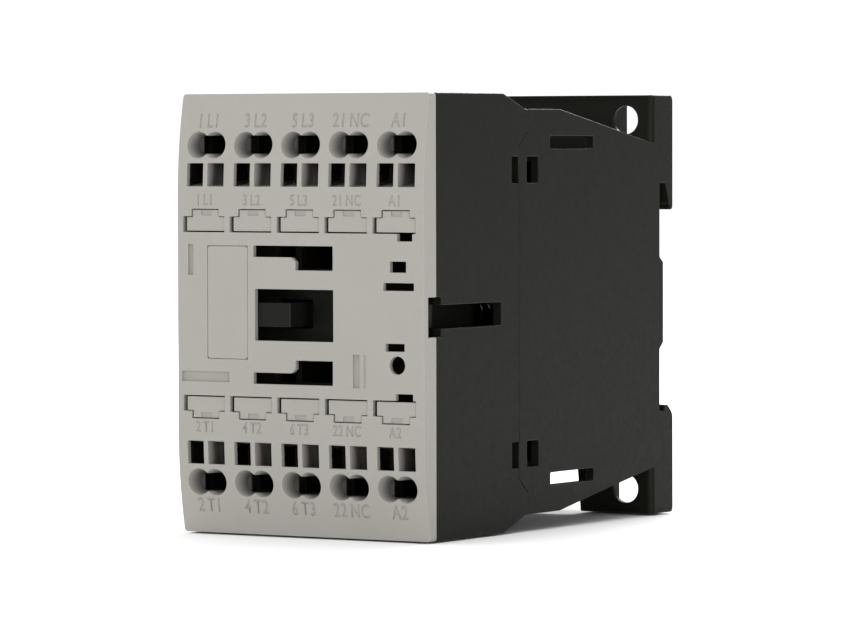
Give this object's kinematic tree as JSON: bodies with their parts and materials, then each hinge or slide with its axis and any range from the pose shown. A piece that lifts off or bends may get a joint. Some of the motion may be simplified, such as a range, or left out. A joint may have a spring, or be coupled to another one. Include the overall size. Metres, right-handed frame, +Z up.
{
  "type": "motor contactor",
  "caption": "Compact motor contactor: grey front with push-in terminals, sprung contact carrier behind a window, magnet and coil, black housings with rail groove and screw flange.",
  "frame": {"origin": "centre of the four screw holes, on the wall plane at the rear of the flange", "axes": "+X right seen from the front, +Y rearwards to the wall, +Z up"},
  "size_m": [0.045, 0.077, 0.068],
  "materials": {
    "cover_plastic": "fine matte grain",
    "label_plastic": "smooth matte",
    "housing_plastic": "fine spark-eroded matte",
    "carrier_plastic": "satin",
    "bobbin_plastic": "satin",
    "spring_steel": "drawn wire",
    "core_steel": "stacked sheet, ground faces",
    "brass_rail": "tinned brass",
    "copper": "bright copper",
    "silver": "polished silver alloy",
    "pad_rubber": "matte"
  },
  "bodies": {
    "housing": {"front_cover": "cover_plastic", "contact_housing": "housing_plastic", "base_housing": "housing_plastic", "device_label": "label_plastic", "marker_top_1": "cover_plastic", "clamp_springs_top_1": "spring_steel", "marker_top_2": "cover_plastic", "clamp_springs_top_2": "spring_steel", "marker_top_3": "cover_plastic", "clamp_springs_top_3": "spring_steel", "marker_top_4": "cover_plastic", "clamp_springs_top_4": "spring_steel", "marker_top_5": "cover_plastic", "clamp_springs_top_5": "spring_steel", "rail_top_l1": "brass_rail", "rail_top_l2": "brass_rail", "rail_top_l3": "brass_rail", "rail_top_aux": "brass_rail", "rail_top_coil": "brass_rail", "marker_bottom_1": "cover_plastic", "clamp_springs_bottom_1": "spring_steel", "marker_bottom_2": "cover_plastic", "clamp_springs_bottom_2": "spring_steel", "marker_bottom_3": "cover_plastic", "clamp_springs_bottom_3": "spring_steel", "marker_bottom_4": "cover_plastic", "clamp_springs_bottom_4": "spring_steel", "marker_bottom_5": "cover_plastic", "clamp_springs_bottom_5": "spring_steel", "rail_bottom_l1": "brass_rail", "rail_bottom_l2": "brass_rail", "rail_bottom_l3": "brass_rail", "rail_bottom_aux": "brass_rail", "rail_bottom_coil": "brass_rail", "fixed_tips": "silver", "fixed_core": "core_steel", "shading_rings": "copper", "coil_bobbin": "bobbin_plastic", "coil_winding": "copper", "coil_pins": "brass_rail", "core_pad": "pad_rubber", "return_springs": "spring_steel"},
    "carrier": {"contact_carrier": "carrier_plastic", "armature": "core_steel", "armature_pin": "spring_steel", "contact_spring_l1": "spring_steel", "contact_spring_l2": "spring_steel", "contact_spring_l3": "spring_steel", "contact_spring_aux": "spring_steel"},
    "rail_spring": {"rail_spring": "spring_steel"},
    "bridge_l1": {"bridge_l1": "copper", "bridge_tips_l1": "silver"},
    "bridge_l2": {"bridge_l2": "copper", "bridge_tips_l2": "silver"},
    "bridge_l3": {"bridge_l3": "copper", "bridge_tips_l3": "silver"},
    "bridge_aux": {"bridge_aux": "copper", "bridge_tips_aux": "silver"}
  },
  "joints": [
    {"name": "carrier_slide", "type": "slide", "parent": "housing", "child": "carrier", "axis": [0, 1, 0], "range_m": [0, 0.0036], "stiffness_N_per_m": 600, "springref_m": -0.005, "deforming": ["return_springs"]},
    {"name": "rail_spring_give", "type": "slide", "parent": "housing", "child": "rail_spring", "axis": [0, 0, 1], "range_m": [0, 0.0013], "stiffness_N_per_m": 3000, "springref_m": -0.001},
    {"name": "bridge_l1_float", "type": "slide", "parent": "carrier", "child": "bridge_l1", "axis": [0, 1, 0], "range_m": [-0.0008, 0], "deforming": ["contact_spring_l1"]},
    {"name": "bridge_l2_float", "type": "slide", "parent": "carrier", "child": "bridge_l2", "axis": [0, 1, 0], "range_m": [-0.0008, 0], "deforming": ["contact_spring_l2"]},
    {"name": "bridge_l3_float", "type": "slide", "parent": "carrier", "child": "bridge_l3", "axis": [0, 1, 0], "range_m": [-0.0008, 0], "deforming": ["contact_spring_l3"]},
    {"name": "bridge_aux_float", "type": "slide", "parent": "carrier", "child": "bridge_aux", "axis": [0, 1, 0], "range_m": [-0.0008, 0], "deforming": ["contact_spring_aux"]}
  ],
  "couplings": [
    {"joint": "bridge_l1_float", "follows": "carrier_slide", "ratio": -0.2222},
    {"joint": "bridge_l2_float", "follows": "carrier_slide", "ratio": -0.2222},
    {"joint": "bridge_l3_float", "follows": "carrier_slide", "ratio": -0.2222},
    {"joint": "bridge_aux_float", "follows": "carrier_slide", "ratio": -0.2222}
  ]
}
